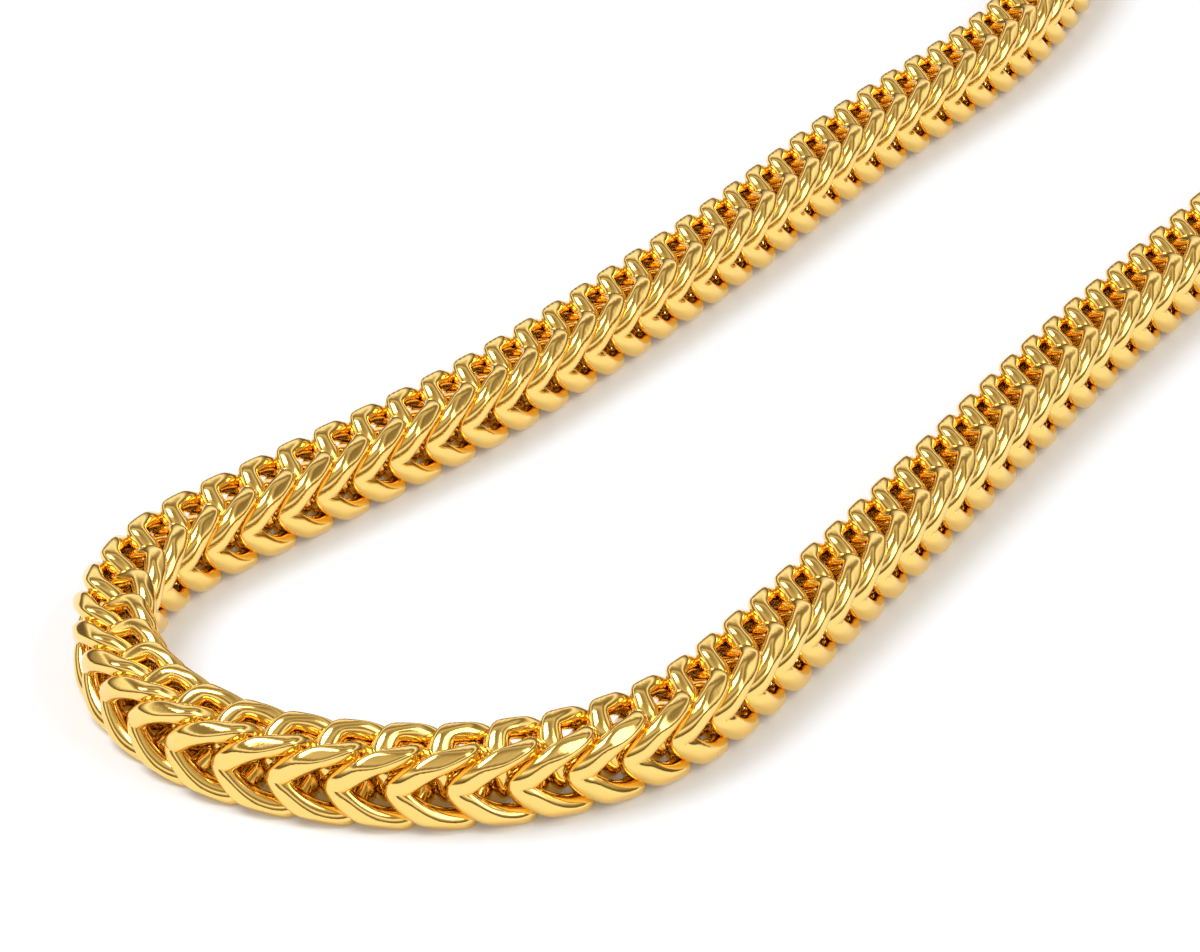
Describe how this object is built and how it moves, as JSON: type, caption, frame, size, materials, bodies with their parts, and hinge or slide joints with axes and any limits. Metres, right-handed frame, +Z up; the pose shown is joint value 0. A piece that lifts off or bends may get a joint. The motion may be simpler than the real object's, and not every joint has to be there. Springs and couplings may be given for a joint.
{
  "type": "franco chain necklace",
  "caption": "Square gold chain necklace of V-shaped links in two rows, lying flat as a closed loop with a tight front bend and a plain clasp at the back.",
  "frame": {"origin": "middle of the loop's bounding box, on the surface that it lies on", "axes": "+Z up from the surface, +Y from the front bend towards the clasp, +X to the right as the picture is seen"},
  "size_m": [0.1653, 0.2329, 0.0057],
  "materials": {
    "gold": "high polish"
  },
  "bodies": {
    "root": {"chain_front": "gold", "chain_back": "gold", "clasp": "gold"}
  },
  "joints": []
}
